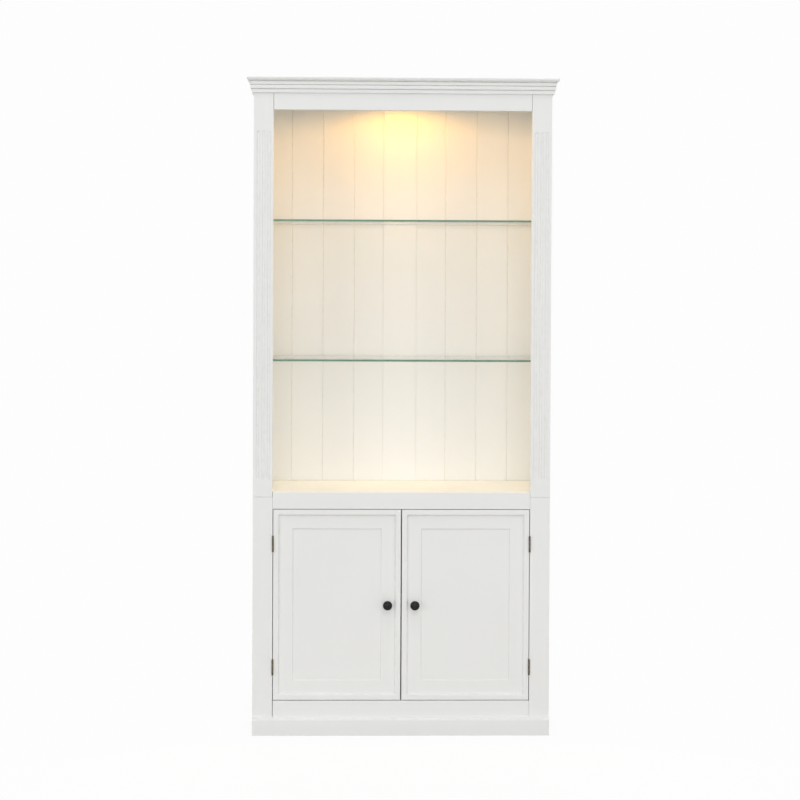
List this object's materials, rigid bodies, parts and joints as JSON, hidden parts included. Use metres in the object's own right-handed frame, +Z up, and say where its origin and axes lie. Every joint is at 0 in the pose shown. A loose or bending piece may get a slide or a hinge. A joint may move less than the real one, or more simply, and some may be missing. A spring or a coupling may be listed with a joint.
{
  "type": "display cabinet",
  "caption": "Tall painted display cabinet: an open upper unit with glass shelves, grooved back and fluted pilasters over a cupboard with hinged panelled doors.",
  "frame": {"origin": "middle of the whole cabinet's box in plan, on the floor", "axes": "+Z up, +X to the right as seen from the front, and the front with the doors faces -Y"},
  "size_m": [0.995, 0.4042, 2.1],
  "materials": {
    "white_paint": "painted, satin",
    "shelf_glass": "clear, polished edge",
    "steel": "satin",
    "hinge_bronze": "dulled, brown",
    "black_knob": "black, semi-gloss",
    "white_plastic": "matte",
    "lamp_white": "white, satin",
    "lamp_lens": "frosted"
  },
  "bodies": {
    "cabinet": {"base_side_left": "white_paint", "base_side_right": "white_paint", "base_bottom_board": "white_paint", "base_top_board": "white_paint", "base_back_panel": "white_paint", "base_bottom_rail": "white_paint", "base_mid_rail": "white_paint", "base_stile_left": "white_paint", "base_stile_right": "white_paint", "skirting_front": "white_paint", "cupboard_shelf": "white_paint", "cupboard_shelf_pin_left_front": "steel", "cupboard_shelf_pin_left_back": "steel", "cupboard_shelf_pin_right_front": "steel", "cupboard_shelf_pin_right_back": "steel", "magnetic_catch": "white_plastic", "left_hinge_upper_frame_leaf": "hinge_bronze", "left_hinge_upper_pin": "hinge_bronze", "left_hinge_lower_frame_leaf": "hinge_bronze", "left_hinge_lower_pin": "hinge_bronze", "right_hinge_upper_frame_leaf": "hinge_bronze", "right_hinge_upper_pin": "hinge_bronze", "right_hinge_lower_frame_leaf": "hinge_bronze", "right_hinge_lower_pin": "hinge_bronze", "upper_side_left": "white_paint", "upper_side_right": "white_paint", "upper_top_board": "white_paint", "upper_back_panel_left": "white_paint", "upper_back_panel_right": "white_paint", "upper_back_strip": "white_paint", "pilaster_left": "white_paint", "pilaster_right": "white_paint", "header_rail": "white_paint", "cornice_front": "white_paint", "cornice_left": "white_paint", "cornice_right": "white_paint", "upper_glass_shelf": "shelf_glass", "upper_glass_shelf_pin_left_front": "steel", "upper_glass_shelf_pin_left_back": "steel", "upper_glass_shelf_pin_right_front": "steel", "upper_glass_shelf_pin_right_back": "steel", "lower_glass_shelf": "shelf_glass", "lower_glass_shelf_pin_left_front": "steel", "lower_glass_shelf_pin_left_back": "steel", "lower_glass_shelf_pin_right_front": "steel", "lower_glass_shelf_pin_right_back": "steel", "lamp_housing": "lamp_white", "lamp_lens": "lamp_lens"},
    "left_door": {"left_door_frame": "white_paint", "left_door_panel": "white_paint", "left_door_knob": "black_knob", "left_door_strike": "steel", "left_hinge_upper_door_leaf": "hinge_bronze", "left_hinge_lower_door_leaf": "hinge_bronze"},
    "right_door": {"right_door_frame": "white_paint", "right_door_panel": "white_paint", "right_door_knob": "black_knob", "right_door_strike": "steel", "right_hinge_upper_door_leaf": "hinge_bronze", "right_hinge_lower_door_leaf": "hinge_bronze"}
  },
  "joints": [
    {"name": "left_door_hinge", "type": "hinge", "parent": "cabinet", "child": "left_door", "pos_m": [-0.411, -0.18125, 0], "axis": [0, 0, -1], "range_deg": [0, 170]},
    {"name": "right_door_hinge", "type": "hinge", "parent": "cabinet", "child": "right_door", "pos_m": [0.411, -0.18125, 0], "axis": [0, 0, 1], "range_deg": [0, 170]}
  ]
}
